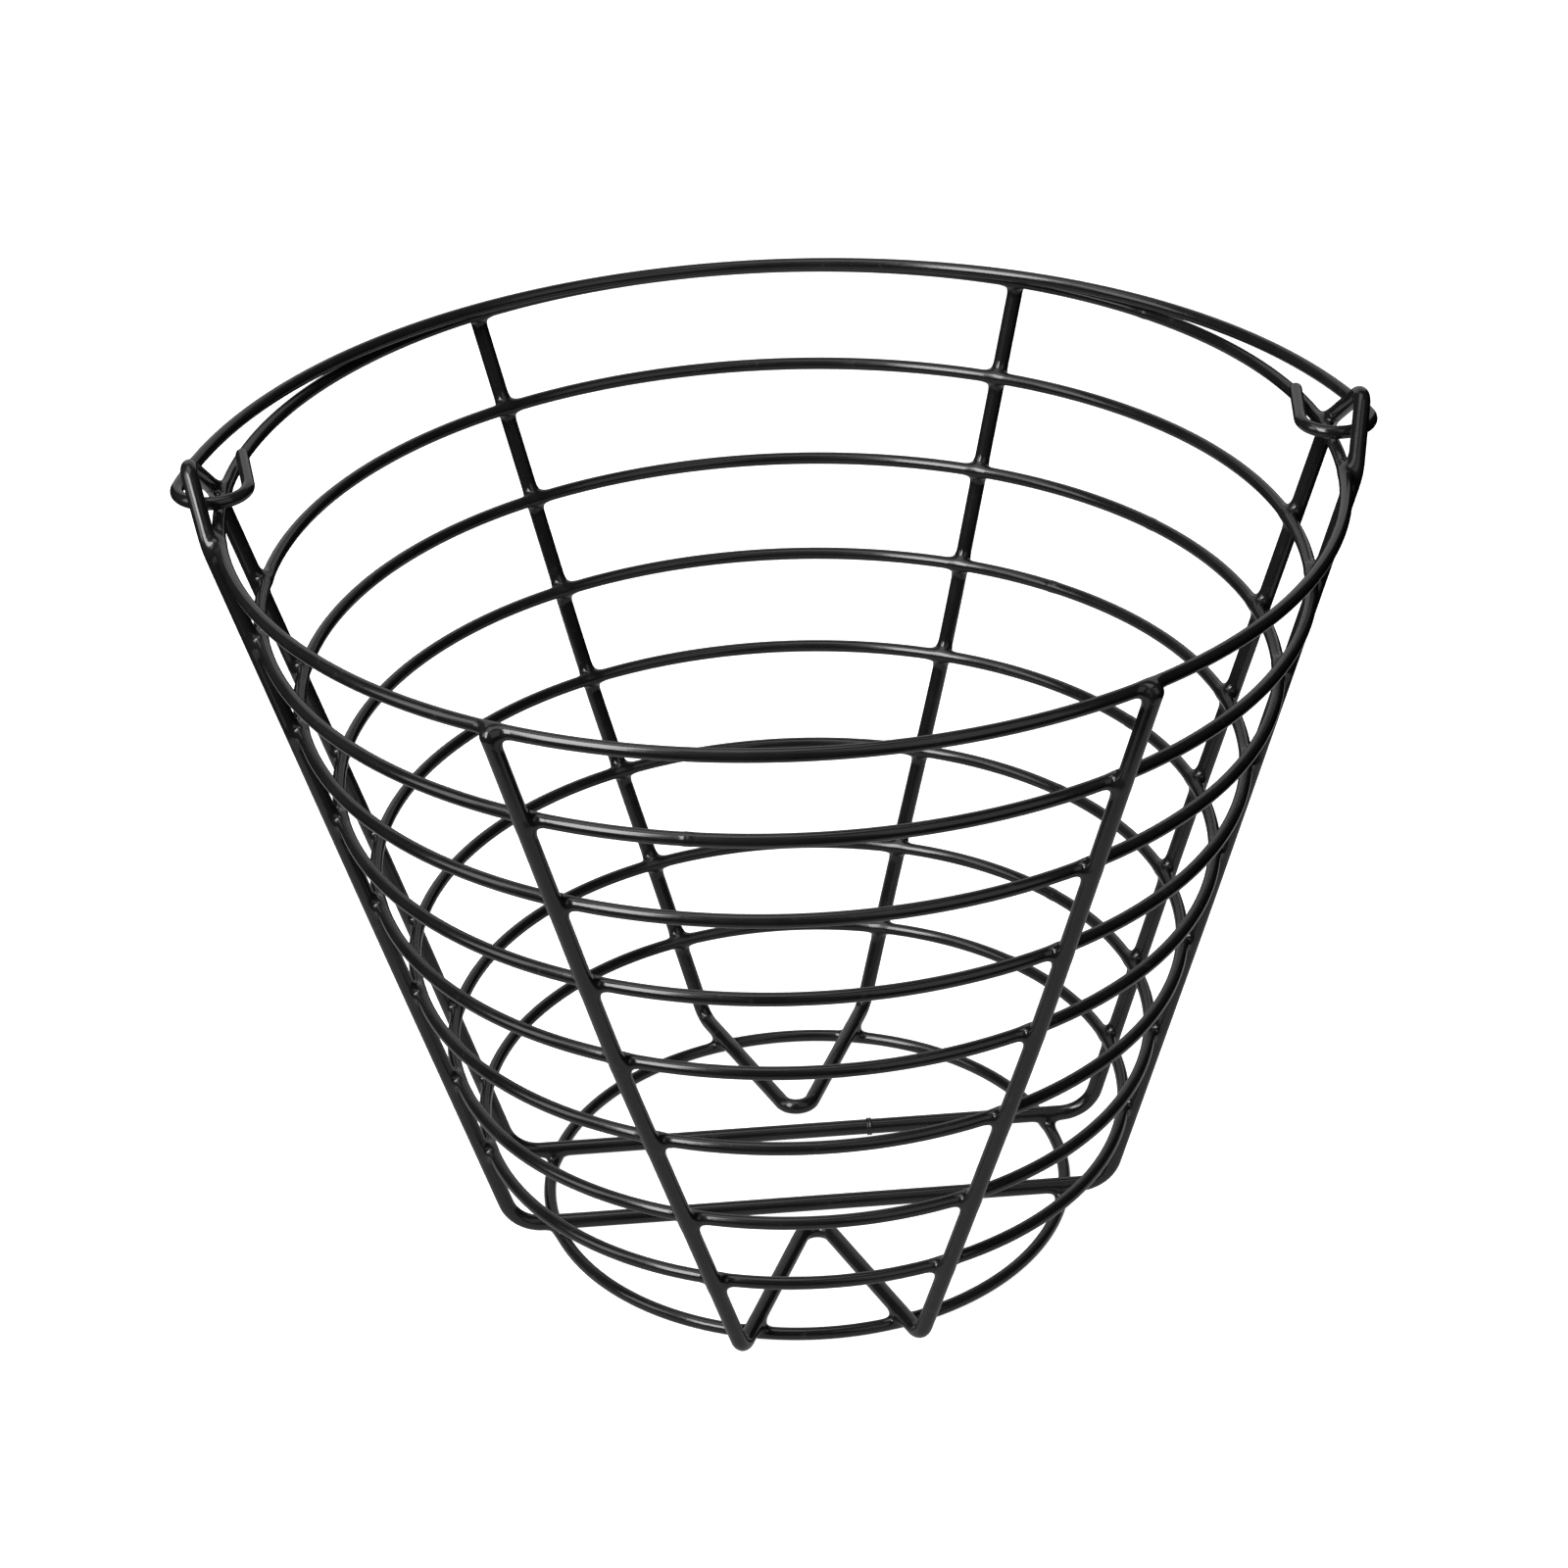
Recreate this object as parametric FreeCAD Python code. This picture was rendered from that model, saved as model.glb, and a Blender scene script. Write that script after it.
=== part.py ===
"""Round wire egg collection basket with a drop bail handle.

Row frame, millimetres: origin on the basket axis at the plane the foot ring stands on,
+Z up, +X through the two ears that carry the handle, +Y to the back, where the handle
lies when it is folded down. Wire diameters are taken over the coating.
"""
import FreeCAD, Part
import math
import os

V = FreeCAD.Vector

# Wire
HOOP_WIRE_R = 2.0        # rim, hoops, foot ring and handle
RIB_WIRE_R = 2.5         # side frame and the two vee wires
RIB_LAP = 1.4            # how far a rib is set into each hoop, over both coatings
FOOT_LAP = 0.6           # the same, where the base lies on the foot ring
WELD_BEAD_R = 3.4        # coated weld bead round each crossing
WELD_BEAD_RISE = 1.1     # how far it climbs up each of the two wires
BEAD_GAP = 0.03          # between a bead and its rib, so that a bowed rib never cuts into it
CROSSING_BAND = 1.5      # height either side of a hoop within which a rib is looked for

# Hoops
RIM_R = 165.3
RIM_Z = 252.5
CONE_SLOPE = 0.288       # radius gained per unit of height
HOOP_Z = (35.5, 63.5, 97.0, 129.5, 160.0, 191.0, 221.5)
FOOT_R = 84.0

# Ribs: sideways offset of each rib from the plane through the basket axis
VEE_RIB_TOP = 88.5
VEE_RIB = ((129.5, 60.2), (50.0, 39.0))    # height, offset
VEE_CORNER_X = 27.5
VEE_APEX_Y = 26.0
VEE_TOP_DROP = 0.9       # rib ends stop this far below the rim's centre height
SIDE_RIB_TOP = 19.5
SIDE_RIB_MID = 22.0
SIDE_RIB_MID_Z = 110.0
BASE_BAR_Y = 20.5
RIB_BOW_R = 1500.0
VEE_CORNER_BEND_R = 6.0
VEE_APEX_BEND_R = 5.5
BASE_CORNER_BEND_R = 12.0

SEAM_X = 22.5
SEAM_R = 3.1
SEAM_WIDTH = 1.8

# Ears
EAR_X = 173.0
EAR_TOP_Z = 268.5        # top of the ear's centre line
EAR_BEND_R = 5.0
EAR_ROOT_BEND_R = 9.0

# Handle, drawn folded flat to the back
BAIL_AXIS_Z = 257.0
BAIL_R = 181.7
BAIL_CENTRE_Y = -26.0
HOOK_R = 10.5
HOOK_LEAN = math.radians(7.0)
HOOK_LEG = 23.0

BASE_Z = 2 * HOOP_WIRE_R + RIB_WIRE_R - FOOT_LAP
RIB_OFFSET = (HOOP_WIRE_R + RIB_WIRE_R - RIB_LAP) * math.hypot(1.0, CONE_SLOPE)


def cone_radius(z):
    """Centre-line radius of a hoop at height z."""
    return RIM_R - CONE_SLOPE * (RIM_Z - z)


def on_ribs(side, z):
    """Distance from the axis, square to the sideways offset, of a rib outside the hoops."""
    return math.sqrt((cone_radius(z) + RIB_OFFSET) ** 2 - side ** 2)


# Wire paths: a path is a list of ("line", start, end) and
# ("arc", start, centre, axis, degrees) steps, each tangent to the next.

def bend(before, corner, after, radius):
    """Tangent points, centre, axis and angle of a bend at a corner."""
    a = (before - corner).normalize()
    b = (after - corner).normalize()
    half = a.getAngle(b) / 2
    reach = radius / math.tan(half)
    centre = corner + (a + b).normalize() * (radius / math.sin(half))
    axis = b.cross(a).normalize()
    return corner + a * reach, corner + b * reach, centre, axis, math.degrees(math.pi - 2 * half)


def bent_path(corners, radii, closed=False):
    """Path through corners, each rounded to its radius; an open path's ends stay sharp."""
    count = len(corners)
    steps = []
    turns = []
    for i in range(count if closed else count - 2):
        k = i if closed else i + 1
        turns.append(bend(corners[k - 1], corners[k], corners[(k + 1) % count], radii[k if closed else i]))
    at = turns[-1][1] if closed else corners[0]
    for enter, leave, centre, axis, degrees in turns:
        if enter.distanceToPoint(at) > 1e-6:
            steps.append(("line", at, enter))
        steps.append(("arc", enter, centre, axis, degrees))
        at = leave
    if not closed:
        steps.append(("line", at, corners[-1]))
    return steps


def step_direction(step):
    if step[0] == "line":
        return (step[2] - step[1]).normalize()
    return step[3].cross(step[1] - step[2]).normalize()


def tube(steps, radius):
    """Round wire along a path."""
    pieces = []
    for step in steps:
        ring = Part.Wire(Part.makeCircle(radius, step[1], step_direction(step)))
        face = Part.Face(ring)
        if step[0] == "line":
            pieces.append(face.extrude(step[2] - step[1]))
        else:
            pieces.append(face.revolve(step[2], step[3], step[4]))
    if len(pieces) == 1:
        return pieces[0]
    return pieces[0].multiFuse(pieces[1:]).removeSplitter()


def hoop(radius, z):
    return Part.makeTorus(radius, HOOP_WIRE_R, V(0, 0, z), V(0, 0, 1))


def vee_path(front):
    """Rib, corner, vee across the base, corner, rib: one bent wire at the front or the back."""
    y = -1.0 if front else 1.0
    top_z = RIM_Z - VEE_TOP_DROP

    rib = ((top_z, VEE_RIB_TOP),) + VEE_RIB + ((BASE_Z, VEE_CORNER_X),)

    def half(x):
        return [V(x * side, y * on_ribs(side, z), z) for z, side in rib]

    corners = half(-1.0) + [V(0, y * VEE_APEX_Y, BASE_Z)] + half(1.0)[::-1]
    bows = [RIB_BOW_R] * len(VEE_RIB)
    radii = bows + [VEE_CORNER_BEND_R, VEE_APEX_BEND_R, VEE_CORNER_BEND_R] + bows
    return bent_path(corners, radii)


def side_frame_path():
    """Closed wire: base bar, rib, ear, rib, base bar, rib, ear, rib."""
    foot_x = on_ribs(BASE_BAR_Y, BASE_Z)
    mid_x = on_ribs(SIDE_RIB_MID, SIDE_RIB_MID_Z)
    rim_x = on_ribs(SIDE_RIB_TOP, RIM_Z)
    rise = EAR_TOP_Z - EAR_BEND_R - RIM_Z
    slope = math.atan2(rise, SIDE_RIB_TOP) + math.asin(EAR_BEND_R / math.hypot(rise, SIDE_RIB_TOP))
    peak_z = EAR_TOP_Z - EAR_BEND_R + EAR_BEND_R / math.cos(slope)
    corners = []
    for x in (-1.0, 1.0):
        side = [
            V(x * foot_x, -x * BASE_BAR_Y, BASE_Z),
            V(x * mid_x, -x * SIDE_RIB_MID, SIDE_RIB_MID_Z),
            V(x * rim_x, -x * SIDE_RIB_TOP, RIM_Z),
        ]
        far = [V(p.x, -p.y, p.z) for p in side[::-1]]
        corners += side + [V(x * EAR_X, 0, peak_z)] + far
    radii = 2 * [BASE_CORNER_BEND_R, RIB_BOW_R, EAR_ROOT_BEND_R, EAR_BEND_R, EAR_ROOT_BEND_R, RIB_BOW_R,
                 BASE_CORNER_BEND_R]
    return bent_path(corners, radii, closed=True)


def bail_path():
    """Hook, arc, hook, lying in the horizontal plane through the hinge axis."""
    up = V(0, 0, 1)
    join_y = HOOK_R
    for _ in range(20):
        join_y = HOOK_R * (1 + (join_y - BAIL_CENTRE_Y) / BAIL_R)
    lean = math.asin((join_y - BAIL_CENTRE_Y) / BAIL_R)
    steps = []
    centre = V(0, BAIL_CENTRE_Y, BAIL_AXIS_Z)
    out = V(math.cos(lean), math.sin(lean), 0)
    join = centre + out * BAIL_R
    eye = join - out * HOOK_R
    turn = math.pi + lean + HOOK_LEAN
    inner = V(-math.cos(HOOK_LEAN), math.sin(HOOK_LEAN), 0)
    leg = V(math.sin(HOOK_LEAN), math.cos(HOOK_LEAN), 0)
    leg_root = eye + inner * HOOK_R
    tip = leg_root + leg * HOOK_LEG
    steps.append(("line", tip, leg_root))
    steps.append(("arc", leg_root, eye, up, math.degrees(turn)))
    steps.append(("arc", join, centre, up, math.degrees(math.pi - 2 * lean)))
    left_join = V(-join.x, join.y, join.z)
    steps.append(("arc", left_join, V(-eye.x, eye.y, eye.z), up, math.degrees(turn)))
    steps.append(("line", V(-leg_root.x, leg_root.y, leg_root.z), V(-tip.x, tip.y, tip.z)))
    return steps


def centre_edge(step):
    """Centre line of one path step."""
    if step[0] == "line":
        return Part.makeLine(step[1], step[2])
    halfway = FreeCAD.Rotation(step[3], step[4] / 2).multVec(step[1] - step[2])
    whole = FreeCAD.Rotation(step[3], step[4]).multVec(step[1] - step[2])
    return Part.Arc(step[1], step[2] + halfway, step[2] + whole).toShape()


def rib_contacts(steps, radius, z):
    """Where the ribs of one wire touch a hoop from outside: contact, rib point, rib direction."""
    circle = Part.makeCircle(radius, V(0, 0, z))
    near = []
    for step in steps:
        edge = centre_edge(step)
        if edge.BoundBox.ZMax < z - CROSSING_BAND or edge.BoundBox.ZMin > z + CROSSING_BAND:
            continue
        gap, pairs, _ = edge.distToShape(circle)
        on_rib, on_hoop = pairs[0]
        contact = on_hoop + (on_rib - on_hoop).normalize() * HOOP_WIRE_R
        if gap < HOOP_WIRE_R + RIB_WIRE_R:
            near.append((gap, contact, on_rib, edge.tangentAt(edge.Curve.parameter(on_rib))))
    found = []
    for _, contact, on_rib, direction in sorted(near, key=lambda place: place[0]):
        if all(contact.distanceToPoint(other[0]) > 2 * WELD_BEAD_R for other in found):
            found.append((contact, on_rib, direction))
    return found


def foot_contacts(steps):
    """Where the base bars and vee legs lie on the foot ring."""
    found = []
    for step in steps:
        if step[0] != "line" or abs(step[1].z - BASE_Z) > 0.01 or abs(step[2].z - BASE_Z) > 0.01:
            continue
        run = step[2] - step[1]
        a = run.x ** 2 + run.y ** 2
        b = 2 * (step[1].x * run.x + step[1].y * run.y)
        c = step[1].x ** 2 + step[1].y ** 2 - FOOT_R ** 2
        root = math.sqrt(b * b - 4 * a * c)
        for t in ((-b - root) / (2 * a), (-b + root) / (2 * a)):
            if 0 < t < 1:
                p = step[1] + run * t
                found.append((V(p.x, p.y, 2 * HOOP_WIRE_R), p, V(run.x, run.y, run.z).normalize()))
    return found


def bead(contact, on_rib, direction, ring, wire=None):
    """Weld nugget round a contact, with the two wires it joins taken out of it."""
    if wire is None:
        reach = 3 * WELD_BEAD_R
        start = on_rib - direction * reach
        wire = Part.makeCylinder(RIB_WIRE_R + BEAD_GAP, 2 * reach, start, direction)
    outward = on_rib - contact
    lap = RIB_WIRE_R - outward.Length
    outward.normalize()
    start = contact - outward * (lap + WELD_BEAD_RISE)
    nugget = Part.makeCylinder(WELD_BEAD_R, lap + 2 * WELD_BEAD_RISE, start, outward)
    return nugget.cut([ring, wire]).Solids


def butt_weld(bar):
    """Upset seam round the side frame wire, on the back base bar."""
    start = V(SEAM_X - SEAM_WIDTH / 2, BASE_BAR_Y, BASE_Z)
    return Part.makeCylinder(SEAM_R, SEAM_WIDTH, start, V(1, 0, 0)).cut(bar)


def export(name, solids):
    shape = solids[0] if len(solids) == 1 else Part.makeCompound(solids)
    shape.exportStep("parts/" + name + ".step")


def main():
    os.makedirs("parts", exist_ok=True)
    rings = [("rim_hoop", RIM_R, RIM_Z)]
    for number, z in enumerate(reversed(HOOP_Z), start=1):
        rings.append(("hoop_%d" % number, cone_radius(z), z))
    rings.append(("foot_ring", FOOT_R, HOOP_WIRE_R))
    paths = {
        "front_vee_wire": vee_path(True),
        "back_vee_wire": vee_path(False),
        "side_frame_wire": side_frame_path(),
    }
    tubes = {name: tube(steps, RIB_WIRE_R) for name, steps in paths.items()}
    hoops = {name: hoop(radius, z) for name, radius, z in rings}

    for name, wire in hoops.items():
        export(name, [wire])
    for name, wire in tubes.items():
        export(name, wire.cut(list(hoops.values())).Solids)
    for name, radius, z in rings:
        made = []
        for path, steps in paths.items():
            contacts = foot_contacts(steps) if name == "foot_ring" else rib_contacts(steps, radius, z)
            for contact in contacts:
                made += bead(*contact, hoops[name], tubes[path] if name == "rim_hoop" else None)
        export(name + "_welds", made)
    export("side_frame_seam", butt_weld(tubes["side_frame_wire"]).Solids)
    export("bail_handle", tube(bail_path(), HOOP_WIRE_R).Solids)


main()
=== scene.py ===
"""Coated wire egg basket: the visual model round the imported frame, in metres."""
import math

import bpy
import numpy as np
from mathutils import Matrix, Vector


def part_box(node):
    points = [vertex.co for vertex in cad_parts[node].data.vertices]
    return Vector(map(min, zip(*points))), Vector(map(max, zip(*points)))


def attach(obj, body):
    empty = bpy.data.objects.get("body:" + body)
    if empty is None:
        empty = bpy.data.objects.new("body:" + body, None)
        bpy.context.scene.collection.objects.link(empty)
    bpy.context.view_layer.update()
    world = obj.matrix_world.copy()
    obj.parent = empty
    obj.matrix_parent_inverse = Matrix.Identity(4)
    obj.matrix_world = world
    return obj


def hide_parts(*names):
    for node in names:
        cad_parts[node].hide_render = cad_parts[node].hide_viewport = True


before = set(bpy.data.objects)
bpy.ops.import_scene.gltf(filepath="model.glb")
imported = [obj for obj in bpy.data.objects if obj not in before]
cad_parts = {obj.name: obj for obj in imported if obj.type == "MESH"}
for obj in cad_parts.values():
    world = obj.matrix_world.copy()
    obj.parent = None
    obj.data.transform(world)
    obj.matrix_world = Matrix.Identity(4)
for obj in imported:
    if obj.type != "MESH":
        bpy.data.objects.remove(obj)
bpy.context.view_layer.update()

MM = 0.001

# Wire, as in the CAD model
RIB_WIRE_R = 2.5 * MM
VEE_RIB_TOP = 88.5 * MM
VEE_RIB = ((129.5 * MM, 60.2 * MM), (50.0 * MM, 39.0 * MM))    # height, sideways offset
VEE_CORNER_X = 27.5 * MM
VEE_APEX_Y = 26.0 * MM
VEE_TOP_DROP = 0.9 * MM
SIDE_RIB_TOP = 19.5 * MM
SIDE_RIB_MID = 22.0 * MM
SIDE_RIB_MID_Z = 110.0 * MM
BASE_BAR_Y = 20.5 * MM
RIB_BOW_R = 1500.0 * MM
VEE_CORNER_BEND_R = 6.0 * MM
VEE_APEX_BEND_R = 5.5 * MM
BASE_CORNER_BEND_R = 12.0 * MM
RIB_LAP = 1.4 * MM
FOOT_LAP = 0.6 * MM
EAR_X = 173.0 * MM
EAR_TOP_Z = 268.5 * MM
EAR_BEND_R = 5.0 * MM
EAR_ROOT_BEND_R = 9.0 * MM
BAIL_AXIS_Z = 257.0 * MM
BAIL_R = 181.7 * MM
BAIL_CENTRE_Y = -26.0 * MM
HOOK_R = 10.5 * MM
HOOK_LEAN = math.radians(7.0)
HOOK_LEG = 23.0 * MM
SEAM_X = 22.5 * MM
SEAM_R = 3.1 * MM
SEAM_WIDTH = 1.8 * MM

# Section of the seam's ridge: place across it, height above the wire, both as shares
SEAM_PROFILE = (
    (-1.0, 0.0), (-0.92, 0.45), (-0.7, 0.85), (-0.35, 0.9), (-0.1, 0.62), (0.1, 0.62),
    (0.35, 1.0), (0.7, 0.8), (0.92, 0.4), (1.0, 0.0), (0.6, -2.0), (-0.6, -2.0),
)

# Height of the ridge round the wire: mean share, and waves as (count, share, phase)
SEAM_MEAN = 0.82
SEAM_WAVES = ((2, 0.12, 0.6), (7, 0.06, 2.0))

# Mesh fineness
SIDES = 32
RUN_STEP = 3.0 * MM
TURN_STEP = math.radians(7.0)
BOW_SPAN = math.radians(1.5)    # a slow bow is cut into no more than BOW_PIECES for each span of turn
BOW_PIECES = 6
DOME_RINGS = 7                  # from the tip of a wire end to its full width
COAT_GRID = 0.5 * MM
GRID_MARGIN = 3                 # grid points past a fillet, so that its surface closes inside the grid
NEWTON_ROUNDS = 3               # each moves a fillet's points closer to its true surface
NEWTON_NUDGE = 0.01 * MM
GENTLEST_SLOPE = 0.25           # keeps those moves short where the distance hardly changes
STRETCH = 5                     # points of a rib's line kept either side of a crossing
CROSSING_TRIES = 25             # places tried along a step of a rib's line for the nearest one
FAR = 1.0                       # further off than anything on the basket
JOIN_ROUNDS = 20                # rounds that settle where the handle's arc meets its hook
UPRIGHT = 0.1                   # a line this near vertical needs another sideways direction

# Butt weld that closes each hoop: angle round the basket in degrees, and the swelling it leaves
BUTT_WELDS = {"rim_hoop": 41.0, "hoop_1": 256.0, "hoop_2": 33.0, "hoop_3": 47.0, "hoop_4": 28.0,
              "hoop_5": 39.0, "hoop_6": 36.0, "hoop_7": 42.0}
BUTT_SWELL = 0.15 * MM
BUTT_WIDTH = 1.3 * MM
BUTT_GROOVE = 0.4 * MM
BUTT_NOTCH = 0.5             # depth of the groove along the weld, as a share of the swelling
BUTT_REACH = 5.0 * MM
BUTT_STEP = 0.4 * MM

# Coating
COAT_BLEND = 5.0 * MM        # how far apart two surfaces still draw the coating together
COAT_SINK = 0.02 * MM        # the fillet's skirt lies this far under the wire it runs out on
COAT_REACH = 7.0 * MM


def ring_of(node):
    """(radius, height, wire radius) of a hoop."""
    low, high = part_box(node)
    wire_r = (high.z - low.z) / 2
    return (high.x - low.x) / 2 - wire_r, (low.z + high.z) / 2, wire_r


RINGS = ["rim_hoop"] + ["hoop_%d" % n for n in range(1, 8)] + ["foot_ring"]
RIM_R, RIM_Z, HOOP_WIRE_R = ring_of("rim_hoop")
LOW_R, LOW_Z, _ = ring_of("hoop_7")
CONE_SLOPE = (RIM_R - LOW_R) / (RIM_Z - LOW_Z)
BASE_Z = 2 * HOOP_WIRE_R + RIB_WIRE_R - FOOT_LAP
RIB_OFFSET = (HOOP_WIRE_R + RIB_WIRE_R - RIB_LAP) * math.hypot(1.0, CONE_SLOPE)


def on_ribs(side, z):
    """Distance from the axis, square to the sideways offset, of a rib outside the hoops."""
    radius = RIM_R - CONE_SLOPE * (RIM_Z - z) + RIB_OFFSET
    return math.sqrt(radius ** 2 - side ** 2)


# Centre lines

def arc_points(start, centre, axis, angle):
    """Points along an arc, its start left out."""
    count = max(2, math.ceil(abs(angle) * max((start - centre).length / RUN_STEP, 1 / TURN_STEP)))
    count = min(count, max(2, math.ceil(abs(angle) / BOW_SPAN) * BOW_PIECES))
    spoke = start - centre
    return [centre + Matrix.Rotation(angle * i / count, 3, axis) @ spoke for i in range(1, count + 1)]


def run_points(start, end):
    """Points along a straight run, its start left out."""
    count = max(1, math.ceil((end - start).length / RUN_STEP))
    return [start.lerp(end, i / count) for i in range(1, count + 1)]


def bent_points(corners, radii, closed=False):
    """Points along a wire bent round corners, each to its radius."""
    count = len(corners)
    line = [] if closed else [corners[0]]
    for i in range(count if closed else count - 2):
        k = i if closed else i + 1
        corner, radius = corners[k], radii[k if closed else i]
        a = (corners[k - 1] - corner).normalized()
        b = (corners[(k + 1) % count] - corner).normalized()
        half = a.angle(b) / 2
        reach = radius / math.tan(half)
        centre = corner + (a + b).normalized() * (radius / math.sin(half))
        enter = corner + a * reach
        if line:
            line += run_points(line[-1], enter)
        else:
            line.append(enter)
        line += arc_points(enter, centre, b.cross(a).normalized(), math.pi - 2 * half)
    if closed:
        return line + run_points(line[-1], line[0])[:-1]
    return line + run_points(line[-1], corners[-1])


def ring_points(radius, z, weld):
    """Points round a hoop, close together about its butt weld, and how far each swells."""
    count = math.ceil(2 * math.pi * radius / RUN_STEP)
    arcs = [2 * math.pi * radius * i / count for i in range(count)]
    if weld is None:
        swell = [0.0] * count
    else:
        half = math.pi * radius
        at = radius * weld
        arcs = [s for s in arcs if abs((s - at + half) % (2 * half) - half) > BUTT_REACH]
        arcs = sorted(arcs + [at + s for s in np.arange(-BUTT_REACH, BUTT_REACH, BUTT_STEP)])
        away = np.abs((np.array(arcs) - at + half) % (2 * half) - half)
        groove = BUTT_NOTCH * np.exp(-(away / BUTT_GROOVE) ** 2)
        swell = BUTT_SWELL * (np.exp(-(away / BUTT_WIDTH) ** 2) - groove)
    line = [Vector((radius * math.cos(s / radius), radius * math.sin(s / radius), z)) for s in arcs]
    return line, np.array(swell)


def vee_points(y_sign):
    """Front or back wire: rib, corner, vee across the base, corner, rib."""
    rib = ((RIM_Z - VEE_TOP_DROP, VEE_RIB_TOP),) + VEE_RIB + ((BASE_Z, VEE_CORNER_X),)

    def half(x_sign):
        return [Vector((x * x_sign, y_sign * on_ribs(x, z), z)) for z, x in rib]

    corners = half(-1.0) + [Vector((0, y_sign * VEE_APEX_Y, BASE_Z))] + half(1.0)[::-1]
    bows = [RIB_BOW_R] * len(VEE_RIB)
    return bent_points(corners, bows + [VEE_CORNER_BEND_R, VEE_APEX_BEND_R, VEE_CORNER_BEND_R] + bows)


def side_frame_points():
    """The closed wire of both sides: base bar, rib, ear, rib, base bar, rib, ear, rib."""
    foot_x = on_ribs(BASE_BAR_Y, BASE_Z)
    mid_x = on_ribs(SIDE_RIB_MID, SIDE_RIB_MID_Z)
    rim_x = on_ribs(SIDE_RIB_TOP, RIM_Z)
    rise = EAR_TOP_Z - EAR_BEND_R - RIM_Z
    slope = math.atan2(rise, SIDE_RIB_TOP) + math.asin(EAR_BEND_R / math.hypot(rise, SIDE_RIB_TOP))
    peak_z = EAR_TOP_Z - EAR_BEND_R + EAR_BEND_R / math.cos(slope)
    corners = []
    for x in (-1.0, 1.0):
        side = [
            Vector((x * foot_x, -x * BASE_BAR_Y, BASE_Z)),
            Vector((x * mid_x, -x * SIDE_RIB_MID, SIDE_RIB_MID_Z)),
            Vector((x * rim_x, -x * SIDE_RIB_TOP, RIM_Z)),
        ]
        corners += side + [Vector((x * EAR_X, 0, peak_z))]
        corners += [Vector((p.x, -p.y, p.z)) for p in reversed(side)]
    radii = [BASE_CORNER_BEND_R, RIB_BOW_R, EAR_ROOT_BEND_R, EAR_BEND_R, EAR_ROOT_BEND_R, RIB_BOW_R,
             BASE_CORNER_BEND_R]
    return bent_points(corners, radii * 2, closed=True)


def bail_points():
    """Half the handle from the tip of its right hook to the middle, then its mirror image."""
    join_y = HOOK_R
    for _ in range(JOIN_ROUNDS):
        join_y = HOOK_R * (1 + (join_y - BAIL_CENTRE_Y) / BAIL_R)
    lean = math.asin((join_y - BAIL_CENTRE_Y) / BAIL_R)
    centre = Vector((0, BAIL_CENTRE_Y, BAIL_AXIS_Z))
    out = Vector((math.cos(lean), math.sin(lean), 0))
    join = centre + out * BAIL_R
    eye = join - out * HOOK_R
    leg_root = eye + Vector((-math.cos(HOOK_LEAN), math.sin(HOOK_LEAN), 0)) * HOOK_R
    tip = leg_root + Vector((math.sin(HOOK_LEAN), math.cos(HOOK_LEAN), 0)) * HOOK_LEG
    up = Vector((0, 0, 1))
    right = [tip] + run_points(tip, leg_root) + arc_points(leg_root, eye, up, math.pi + lean + HOOK_LEAN)
    right += arc_points(join, centre, up, math.pi / 2 - lean)
    return right + [Vector((-p.x, p.y, p.z)) for p in reversed(right[:-1])]


# Meshes

def mesh_object(name, verts, faces):
    mesh = bpy.data.meshes.new(name)
    mesh.from_pydata([tuple(v) for v in verts], [], faces)
    mesh.validate()
    mesh.update()
    mesh.shade_smooth()
    obj = bpy.data.objects.new(name, mesh)
    bpy.context.scene.collection.objects.link(obj)
    return obj


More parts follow.
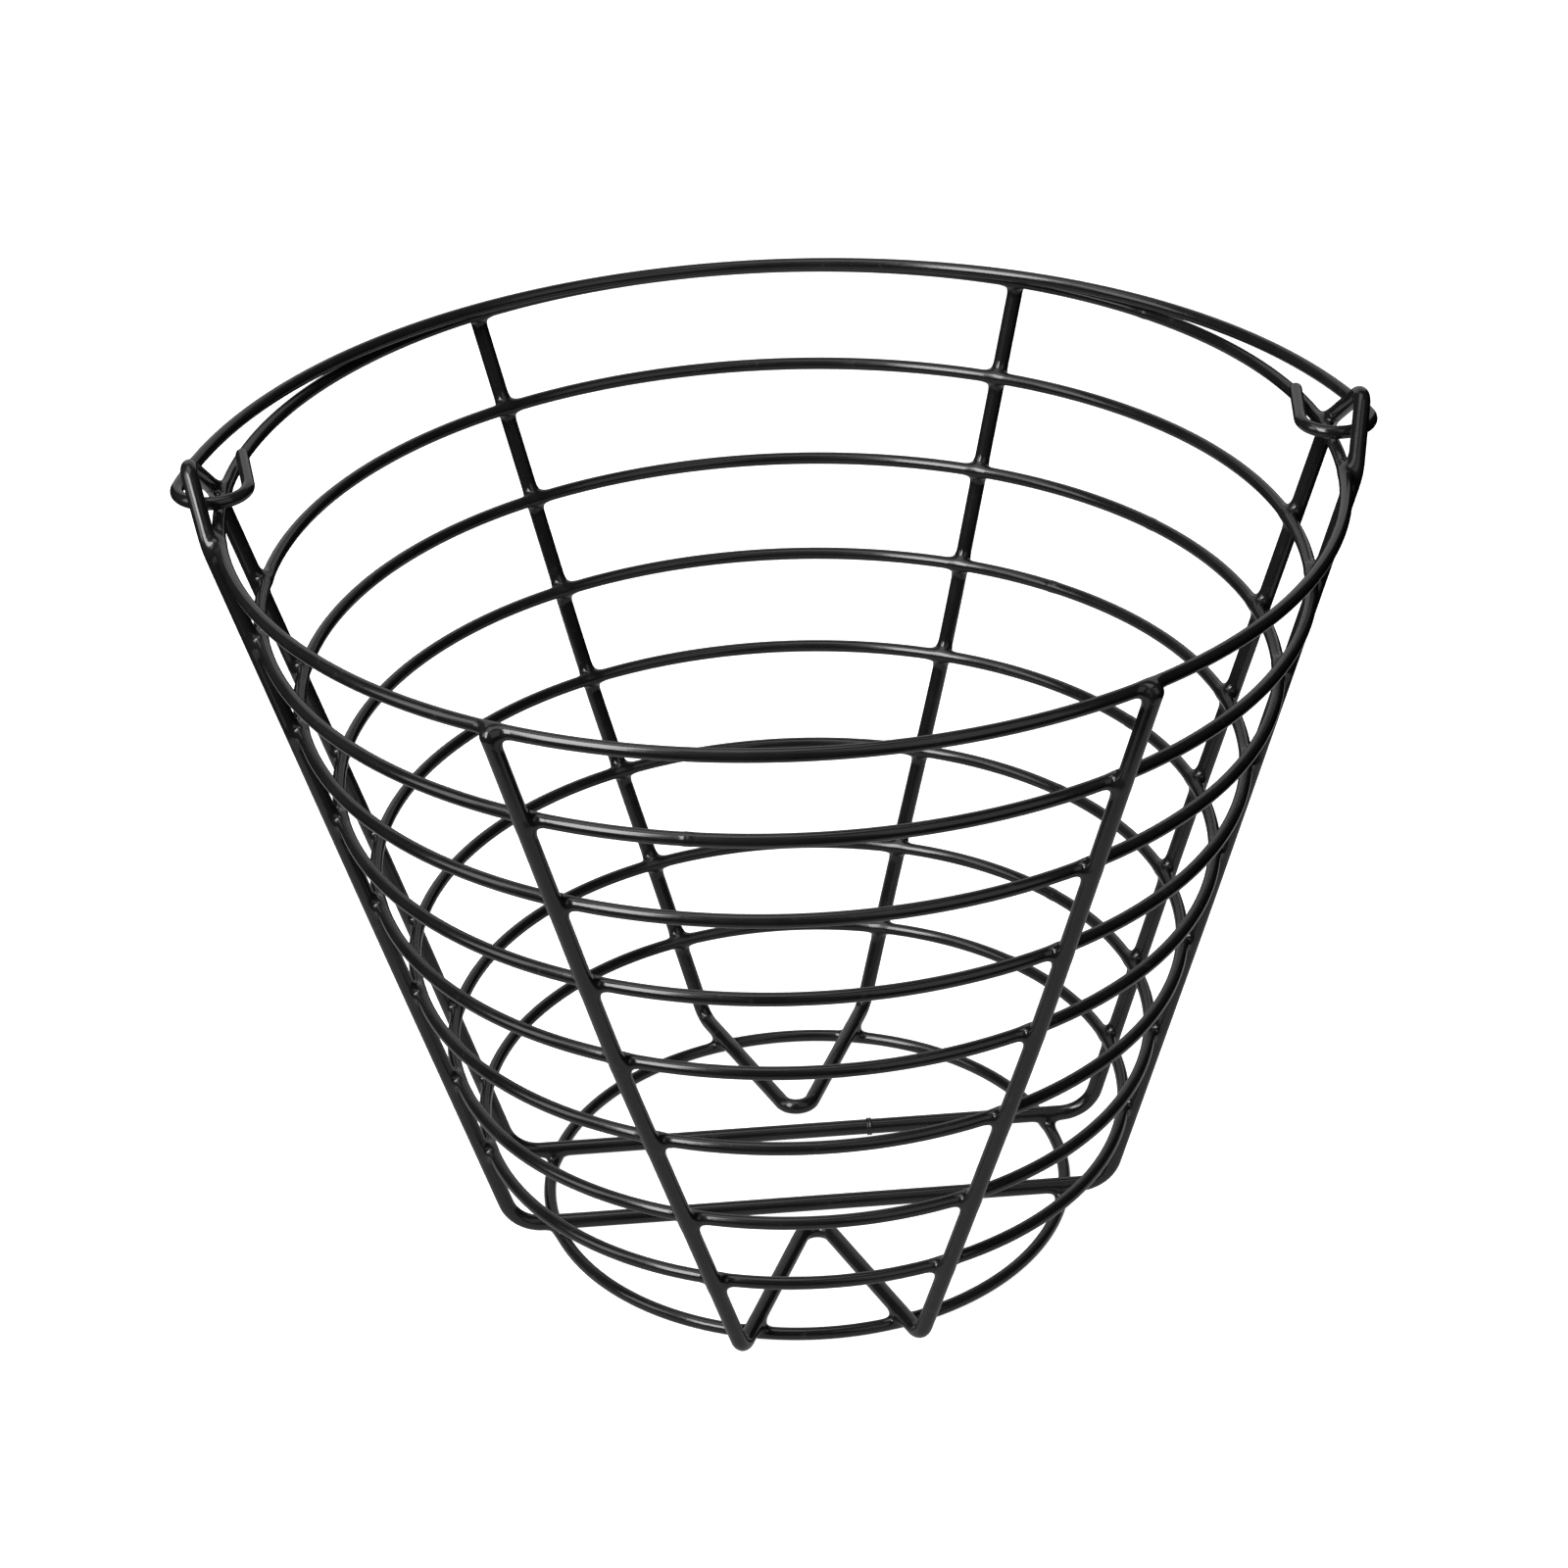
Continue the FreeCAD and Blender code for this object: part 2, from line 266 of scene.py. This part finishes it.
def tube(points, radius, closed, swell=0.0):
    """Rings of vertices along a centre line, and the quads between them; open ends are domed."""
    line = np.array(points)
    if closed:
        tangent = np.roll(line, -1, 0) - np.roll(line, 1, 0)
    else:
        tangent = np.gradient(line, axis=0)
    tangent /= np.linalg.norm(tangent, axis=1)[:, None]
    radii = np.full(len(line), radius) + swell
    if not closed:
        dome = [(math.sin(t), 1 - math.cos(t)) for t in np.linspace(0, math.pi / 2, DOME_RINGS)[1:-1]]
        head = [line[0] + tangent[0] * radius * rise for _, rise in dome]
        tail = [line[-1] - tangent[-1] * radius * rise for _, rise in dome]
        keep = np.ones(len(line), bool)
        keep[[0, -1]] = False
        keep &= np.linalg.norm(line - line[0], axis=1) > radius
        keep &= np.linalg.norm(line - line[-1], axis=1) > radius
        widths = [radius * wide for wide, _ in dome]
        line = np.vstack([head, line[0] + tangent[0] * radius, line[keep],
                          line[-1] - tangent[-1] * radius, tail[::-1]])
        radii = np.array(widths + [radius] * (keep.sum() + 2) + widths[::-1])
        tangent = np.gradient(line, axis=0)
        tangent /= np.linalg.norm(tangent, axis=1)[:, None]
    side = np.cross(tangent[0], (0.0, 0.0, 1.0))
    if np.linalg.norm(side) < UPRIGHT:
        side = np.cross(tangent[0], (1.0, 0.0, 0.0))
    side /= np.linalg.norm(side)
    sides = []
    for way in tangent:
        side = side - way * side.dot(way)
        side /= np.linalg.norm(side)
        sides.append(side)
    sides = np.array(sides)
    twist = np.zeros(len(line))
    if closed:
        last = sides[-1] - tangent[0] * sides[-1].dot(tangent[0])
        over = math.atan2(np.cross(sides[0], last).dot(tangent[0]), sides[0].dot(last))
        twist = -over * np.arange(len(line)) / len(line)
    ups = np.cross(tangent, sides)
    turn = np.linspace(0, 2 * math.pi, SIDES, endpoint=False)[None, :] + twist[:, None]
    rings = (line[:, None, :]
             + radii[:, None, None] * (np.cos(turn)[..., None] * sides[:, None, :]
                                       + np.sin(turn)[..., None] * ups[:, None, :]))
    verts = rings.reshape(-1, 3)
    faces = []
    count = len(line)
    for i in range(count if closed else count - 1):
        j = (i + 1) % count
        for k in range(SIDES):
            m = (k + 1) % SIDES
            faces.append((i * SIDES + k, i * SIDES + m, j * SIDES + m, j * SIDES + k))
    if not closed:
        verts = np.vstack([verts, points[0], points[-1]])
        first, final = len(verts) - 2, len(verts) - 1
        base = (count - 1) * SIDES
        for k in range(SIDES):
            m = (k + 1) % SIDES
            faces.append((first, m, k))
            faces.append((final, base + k, base + m))
    return verts, faces


def surface_net(field, origin, step, refine):
    """Closed quad mesh of the zero level of a grid of distances."""
    inside = field < 0
    size = field.shape
    corner = [(i, j, k) for i in (0, 1) for j in (0, 1) for k in (0, 1)]

    def part(grid, offset):
        return grid[tuple(slice(o, n - 1 + o) for o, n in zip(offset, size))]

    filled = sum(part(inside, o).astype(int) for o in corner)
    mixed = (filled > 0) & (filled < 8)
    index = np.full(mixed.shape, -1)
    index[mixed] = np.arange(mixed.sum())
    cells = np.argwhere(mixed)
    total = np.zeros((len(cells), 3))
    hits = np.zeros(len(cells))
    for axis in range(3):
        for offset in (c for c in corner if c[axis] == 0):
            far = list(offset)
            far[axis] = 1
            a = part(field, offset)[mixed]
            b = part(field, far)[mixed]
            cut = (a < 0) != (b < 0)
            point = cells + np.array(offset, float)
            point[cut, axis] += a[cut] / (a[cut] - b[cut])
            total[cut] += point[cut]
            hits[cut] += 1
    verts = refine(origin + step * total / hits[:, None])
    faces = []
    for axis in range(3):
        u, v = (axis + 1) % 3, (axis + 2) % 3
        low = [slice(1, n - 1) for n in size]
        low[axis] = slice(0, size[axis] - 1)
        high = list(low)
        high[axis] = slice(1, size[axis])
        cross = inside[tuple(low)] != inside[tuple(high)]
        start = np.argwhere(cross)
        start[:, u] += 1
        start[:, v] += 1
        out = inside[tuple(start.T)]
        quad = []
        for du, dv in ((-1, -1), (0, -1), (0, 0), (-1, 0)):
            cell = start.copy()
            cell[:, u] += du
            cell[:, v] += dv
            quad.append(index[tuple(cell.T)])
        quad = np.stack(quad, 1)
        quad[~out] = quad[~out][:, ::-1]
        faces += quad.tolist()
    return verts, faces


def coat_fillet(contact, ring, run):
    """The coating drawn together round one crossing of a hoop and a rib."""
    radius, z, wire_r = ring
    centre = np.array(contact)
    near = np.array(run)

    def distance(p):
        to_hoop = np.hypot(np.hypot(p[:, 0], p[:, 1]) - radius, p[:, 2] - z) - wire_r
        to_rib = np.full(len(p), FAR)
        for a, b in zip(near[:-1], near[1:]):
            along = np.clip((p - a) @ (b - a) / ((b - a) @ (b - a)), 0, 1)
            to_rib = np.minimum(to_rib, np.linalg.norm(p - a - along[:, None] * (b - a), axis=1))
        to_rib -= RIB_WIRE_R
        # Cubic smooth minimum of the two distances
        draw = np.clip(COAT_BLEND - np.abs(to_hoop - to_rib), 0, None) / COAT_BLEND
        joined = np.minimum(to_hoop, to_rib) - draw ** 3 * COAT_BLEND / 6 + COAT_SINK
        return np.maximum(joined, np.linalg.norm(p - centre, axis=1) - COAT_REACH)

    def refine(p):
        for _ in range(NEWTON_ROUNDS):
            value = distance(p)
            ahead = [distance(p + NEWTON_NUDGE * e) for e in np.eye(3)]
            slope = np.stack([(there - value) / NEWTON_NUDGE for there in ahead], 1)
            steep = np.maximum((slope ** 2).sum(1), GENTLEST_SLOPE)
            p = p - slope * (value / steep)[:, None]
        return p

    count = math.ceil(2 * COAT_REACH / COAT_GRID) + GRID_MARGIN
    low = centre - COAT_GRID * (count - 1) / 2
    axes = [low[i] + COAT_GRID * np.arange(count) for i in range(3)]
    grid = np.stack(np.meshgrid(*axes, indexing="ij"), -1).reshape(-1, 3)
    return surface_net(distance(grid).reshape(count, count, count), low, COAT_GRID, refine)


def crossings(ring, line, closed):
    """Where a wire passes a hoop: contact, and the stretch of centre line about it."""
    radius, z, wire_r = ring
    pts = np.array(line)

    def off_hoop(p):
        return math.hypot(math.hypot(p[0], p[1]) - radius, p[2] - z)

    away = np.hypot(pts[:, 0], pts[:, 1])
    gap = np.hypot(away - radius, pts[:, 2] - z)
    found = []
    count = len(pts)
    for i in range(count):
        before, after = gap[i - 1], gap[(i + 1) % count]
        if not closed and i in (0, count - 1):
            before, after = (FAR, after) if i == 0 else (before, FAR)
        if gap[i] < 2 * RIB_WIRE_R and gap[i] <= before and gap[i] < after:
            best = pts[i]
            for j in (i - 1, i):
                if closed or 0 <= j < count - 1:
                    a, b = pts[j], pts[(j + 1) % count]
                    for t in np.linspace(0, 1, CROSSING_TRIES):
                        p = a + (b - a) * t
                        if off_hoop(p) < off_hoop(best):
                            best = p
            turn = math.atan2(best[1], best[0])
            on_hoop = np.array((radius * math.cos(turn), radius * math.sin(turn), z))
            contact = on_hoop + (best - on_hoop) / np.linalg.norm(best - on_hoop) * wire_r
            reach = range(i - STRETCH, i + STRETCH + 1)
            stretch = [pts[j % count] for j in reach if closed or 0 <= j < count]
            found.append((contact, stretch))
    return found


def upset_seam():
    """Ridge squeezed up round the back base bar where its two ends were butt welded."""
    swell = SEAM_R - RIB_WIRE_R
    around = SIDES * 2
    verts = []
    for k in range(around):
        turn = 2 * math.pi * k / around
        uneven = SEAM_MEAN
        for waves, share, phase in SEAM_WAVES:
            uneven += share * math.sin(waves * turn + phase)
        for across, height in SEAM_PROFILE:
            radius = RIB_WIRE_R - COAT_SINK + swell * height * (uneven if height > 0 else 1.0)
            verts.append((SEAM_X + across * SEAM_WIDTH / 2, BASE_BAR_Y + radius * math.cos(turn),
                          BASE_Z + radius * math.sin(turn)))
    count = len(SEAM_PROFILE)
    faces = []
    for k in range(around):
        m = (k + 1) % around
        for i in range(count):
            j = (i + 1) % count
            faces.append((k * count + i, m * count + i, m * count + j, k * count + j))
    return verts, faces


# Materials

def new_material(name):
    material = bpy.data.materials.new(name)
    material.use_nodes = True
    nodes = material.node_tree.nodes
    nodes.clear()
    output = nodes.new("ShaderNodeOutputMaterial")
    shader = nodes.new("ShaderNodeBsdfPrincipled")
    material.node_tree.links.new(shader.outputs["BSDF"], output.inputs["Surface"])
    return material, nodes, material.node_tree.links, shader


def noise(nodes, links, place, scale, detail=2.0, roughness=0.5):
    node = nodes.new("ShaderNodeTexNoise")
    node.inputs["Scale"].default_value = scale
    node.inputs["Detail"].default_value = detail
    node.inputs["Roughness"].default_value = roughness
    links.new(place, node.inputs["Vector"])
    return node.outputs["Fac"]


def remap(nodes, links, value, low, high, to_low, to_high):
    node = nodes.new("ShaderNodeMapRange")
    node.inputs["From Min"].default_value = low
    node.inputs["From Max"].default_value = high
    node.inputs["To Min"].default_value = to_low
    node.inputs["To Max"].default_value = to_high
    links.new(value, node.inputs["Value"])
    return node.outputs["Result"]


def ramp(nodes, links, value, stops):
    """Colour between two stops, each a place and a colour."""
    node = nodes.new("ShaderNodeValToRGB")
    elements = node.color_ramp.elements
    for element, (place, colour) in zip(elements, stops):
        element.position = place
        element.color = (*colour, 1.0)
    links.new(value, node.inputs["Fac"])
    return node.outputs["Color"]


def bump(nodes, links, height, distance, strength, under=None):
    node = nodes.new("ShaderNodeBump")
    node.inputs["Distance"].default_value = distance
    node.inputs["Strength"].default_value = strength
    links.new(height, node.inputs["Height"])
    if under is not None:
        links.new(under, node.inputs["Normal"])
    return node.outputs["Normal"]


# Sockets of a Mix node set to colour
MIX_FACTOR, MIX_COLOUR_A, MIX_COLOUR_B, MIX_COLOUR_OUT = 0, 6, 7, 2


def mix(nodes, links, factor, first, second):
    node = nodes.new("ShaderNodeMix")
    node.data_type = "RGBA"
    links.new(factor, node.inputs[MIX_FACTOR])
    links.new(first, node.inputs[MIX_COLOUR_A])
    node.inputs[MIX_COLOUR_B].default_value = (*second, 1.0)
    return node.outputs[MIX_COLOUR_OUT]


# Noise scales of the coating, per metre
PATCH_SCALE = 55.0
WAVE_SCALE = 110.0
SCUFF_SCALE = 240.0
PEEL_SCALE = 620.0
GRAIN_SCALE = 3800.0

PATCH_RANGE = (0.3, 0.7)
DARK_COAT = (0.009, 0.009, 0.0095)
LIGHT_COAT = (0.015, 0.015, 0.0155)
SCUFF_RANGE = (0.62, 0.74)
SCUFF_COLOUR = (0.028, 0.028, 0.029)
SCUFF_ROUGHNESS = 0.07       # added where the coating has been rubbed dull
WAVE_HEIGHT = 0.25 * MM
PEEL_HEIGHT = 0.012 * MM
GRAIN_HEIGHT = 0.002 * MM


def black_coating(name, peel=1.0, roughness=(0.15, 0.21)):
    """Satin black dip coating: slow thickness waves, orange peel, fine grain, dull patches and scuffs."""
    material, nodes, links, shader = new_material(name)
    place = nodes.new("ShaderNodeTexCoord").outputs["Object"]
    patches = noise(nodes, links, place, PATCH_SCALE, 3.0)
    peel_height = noise(nodes, links, place, PEEL_SCALE, 2.0, 0.45)
    grain = noise(nodes, links, place, GRAIN_SCALE, 1.0)
    waves = noise(nodes, links, place, WAVE_SCALE, 1.0)
    scuffs = noise(nodes, links, place, SCUFF_SCALE, 4.0, 0.65)
    rubbed = remap(nodes, links, scuffs, *SCUFF_RANGE, 0.0, 1.0)
    colour = ramp(nodes, links, patches, list(zip(PATCH_RANGE, (DARK_COAT, LIGHT_COAT))))
    links.new(mix(nodes, links, rubbed, colour, SCUFF_COLOUR), shader.inputs["Base Color"])
    dull = nodes.new("ShaderNodeMath")
    dull.operation = "MULTIPLY_ADD"
    links.new(rubbed, dull.inputs[0])
    dull.inputs[1].default_value = SCUFF_ROUGHNESS
    links.new(remap(nodes, links, patches, *PATCH_RANGE, *roughness), dull.inputs[2])
    links.new(dull.outputs["Value"], shader.inputs["Roughness"])
    normal = bump(nodes, links, waves, WAVE_HEIGHT, 0.3)
    normal = bump(nodes, links, peel_height, PEEL_HEIGHT * peel, 0.8, normal)
    normal = bump(nodes, links, grain, GRAIN_HEIGHT, 0.4, normal)
    links.new(normal, shader.inputs["Normal"])
    shader.inputs["IOR"].default_value = 1.5
    shader.inputs["Coat Weight"].default_value = 0.25
    shader.inputs["Coat Roughness"].default_value = 0.10
    return material


def pale_floor():
    material, nodes, links, shader = new_material("studio_floor")
    place = nodes.new("ShaderNodeTexCoord").outputs["Object"]
    mottle = noise(nodes, links, place, 6.0, 3.0)
    pale = ramp(nodes, links, mottle, [(0.3, (0.86, 0.86, 0.86)), (0.7, (0.90, 0.90, 0.90))])
    links.new(pale, shader.inputs["Base Color"])
    shader.inputs["Roughness"].default_value = 0.9
    shader.inputs["Specular IOR Level"].default_value = 0.1
    shader.inputs["Emission Color"].default_value = (1.0, 1.0, 1.0, 1.0)
    shader.inputs["Emission Strength"].default_value = 0.97
    return material


def finish_piece(obj, material, body, node):
    obj.data.materials.append(material)
    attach(obj, body)
    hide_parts(node)


# Build

wire_coat = black_coating("wire_coating")
weld_coat = black_coating("weld_coating", peel=1.6, roughness=(0.14, 0.21))
handle_coat = black_coating("handle_coating")

rings = {node: ring_of(node) for node in RINGS}
wires = {
    "front_vee_wire": (vee_points(-1.0), False),
    "back_vee_wire": (vee_points(1.0), False),
    "side_frame_wire": (side_frame_points(), True),
}

for node, (radius, z, wire_r) in rings.items():
    weld = math.radians(BUTT_WELDS[node]) if node in BUTT_WELDS else None
    line, swell = ring_points(radius, z, weld)
    piece = mesh_object("coated_" + node, *tube(line, wire_r, True, swell))
    finish_piece(piece, wire_coat, "basket", node)

for node, (line, closed) in wires.items():
    piece = mesh_object("coated_" + node, *tube(line, RIB_WIRE_R, closed))
    finish_piece(piece, wire_coat, "basket", node)

for node, ring in rings.items():
    verts, faces = [], []
    for line, closed in wires.values():
        for contact, stretch in crossings(ring, line, closed):
            made, quads = coat_fillet(contact, ring, stretch)
            faces += [[i + len(verts) for i in quad] for quad in quads]
            verts += made.tolist()
    piece = mesh_object("coated_" + node + "_welds", verts, faces)
    finish_piece(piece, weld_coat, "basket", node + "_welds")

handle = mesh_object("coated_bail_handle", *tube(bail_points(), HOOP_WIRE_R, False))
finish_piece(handle, handle_coat, "handle", "bail_handle")

seam = mesh_object("coated_side_frame_seam", *upset_seam())
finish_piece(seam, weld_coat, "basket", "side_frame_seam")

# Studio

FLOOR_HALF = 6.0
floor_corners = [(x * FLOOR_HALF, y * FLOOR_HALF, 0) for x, y in ((-1, -1), (1, -1), (1, 1), (-1, 1))]
floor = mesh_object("studio_floor", floor_corners, [(0, 1, 2, 3)])
floor.data.materials.append(pale_floor())
floor.visible_glossy = False
floor.visible_diffuse = False

LIGHT_TARGET_Z = 0.13
BOUNCE_RISE = 0.5 * MM       # the bounce card lies this far above the floor


def softbox(name, azimuth, elevation, distance, size, radiance, lean=0.0):
    """A soft panel facing the basket from a direction in degrees, leaned sideways about it."""
    turn, rise, tilt = (math.radians(angle) for angle in (azimuth, elevation, lean))
    outward = Vector((math.cos(rise) * math.cos(turn), math.cos(rise) * math.sin(turn), math.sin(rise)))
    across = Vector((-math.sin(turn), math.cos(turn), 0))
    along = outward.cross(across) * math.cos(tilt) + across * math.sin(tilt)
    lamp = bpy.data.lights.new(name, "AREA")
    lamp.shape = "RECTANGLE"
    lamp.size, lamp.size_y = size
    lamp.energy = radiance * math.pi * size[0] * size[1]
    obj = bpy.data.objects.new(name, lamp)
    obj.matrix_world = Matrix((along.cross(outward), along, outward)).transposed().to_4x4()
    obj.location = Vector((0, 0, LIGHT_TARGET_Z)) + outward * distance
    obj.visible_camera = False
    bpy.context.scene.collection.objects.link(obj)


softbox("key_strip", 220.5, 43.2, 1.5, (0.50, 1.36), 10.0, lean=-18.0)
softbox("side_strip", 190.0, 36.0, 1.6, (0.50, 1.20), 2.4, lean=-8.0)
softbox("top_panel", 140.0, 78.0, 1.6, (0.95, 0.95), 1.3)
softbox("back_panel", 86.0, 22.0, 2.2, (2.6, 1.9), 0.5)
softbox("fill_strip", 302.0, 42.0, 1.8, (1.2, 2.1), 0.5)
softbox("floor_bounce", 0.0, -90.0, LIGHT_TARGET_Z - BOUNCE_RISE, (0.70, 0.70), 0.38)

world = bpy.data.worlds.new("studio")
world.use_nodes = True
background = world.node_tree.nodes["Background"]
background.inputs["Color"].default_value = (1, 1, 1, 1)
background.inputs["Strength"].default_value = 1.0
scene = bpy.context.scene
scene.world = world
world.cycles_visibility.diffuse = False
world.cycles_visibility.glossy = False
scene.view_settings.view_transform = "Standard"

# Camera
PITCH = math.radians(30.74)
TURN = math.radians(3.54)
ROLL = math.radians(-2.10)
CAMERA_DISTANCE = 1253.3 * MM
AIM_HEIGHT = 122.0 * MM
SENSOR_WIDTH = 36.0
LENS = 92.295
SHIFT = (-0.007225, 0.04926875)

camera_data = bpy.data.cameras.new("camera")
camera_data.sensor_width = SENSOR_WIDTH
camera_data.lens = LENS
camera_data.shift_x, camera_data.shift_y = SHIFT
camera = bpy.data.objects.new("camera", camera_data)
forward = Vector((0, math.cos(PITCH), -math.sin(PITCH)))
right = Vector((1, 0, 0))
up = right.cross(forward)
across = right * math.cos(ROLL) + up * math.sin(ROLL)
above = up * math.cos(ROLL) - right * math.sin(ROLL)
pose = Matrix((across, above, -forward)).transposed().to_4x4()
pose.translation = Vector((0, 0, AIM_HEIGHT)) - forward * CAMERA_DISTANCE
camera.matrix_world = Matrix.Rotation(-TURN, 4, "Z") @ pose
scene.collection.objects.link(camera)
scene.camera = camera
